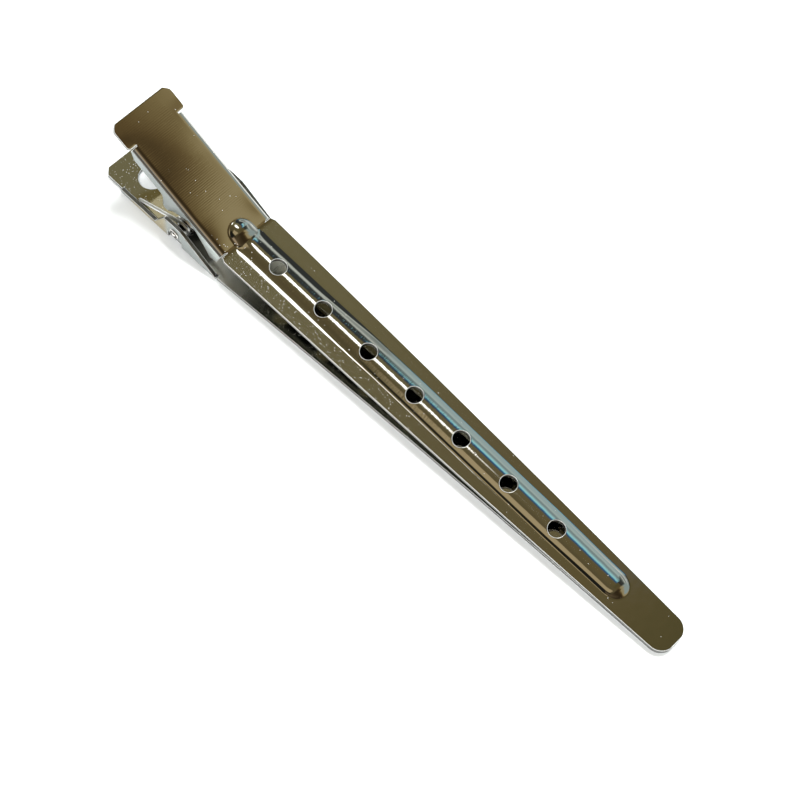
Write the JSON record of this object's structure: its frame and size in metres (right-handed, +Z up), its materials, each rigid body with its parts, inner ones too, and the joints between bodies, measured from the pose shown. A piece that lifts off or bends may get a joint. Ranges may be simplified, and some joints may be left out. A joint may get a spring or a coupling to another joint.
{
  "type": "duckbill hair clip",
  "caption": "Sprung metal hair clip with a ribbed, pierced upper blade over a flat lower blade and finger levers at the rear.",
  "frame": {"origin": "middle of the closed clip's footprint, on the surface it lies on", "axes": "+X from the finger levers to the tip, +Y across the clip, +Z up"},
  "size_m": [0.09, 0.011, 0.0123],
  "materials": {
    "plated_sheet": "bright nickel plating on stamped steel, fine brushed grain",
    "plated_pin": "bright nickel plating",
    "spring_wire": "bright drawn spring wire"
  },
  "bodies": {
    "lower_body": {"lower_jaw": "plated_sheet", "hinge_pin": "plated_pin", "torsion_spring": "spring_wire"},
    "upper_body": {"upper_jaw": "plated_sheet"}
  },
  "joints": [
    {"name": "jaw_hinge", "type": "hinge", "parent": "lower_body", "child": "upper_body", "pos_m": [-0.03163, 0, 0.0024], "axis": [0, -1, 0], "range_deg": [0, 44], "stiffness_Nm_per_rad": 0.046, "springref_deg": -68.75, "deforming": ["torsion_spring"]}
  ]
}
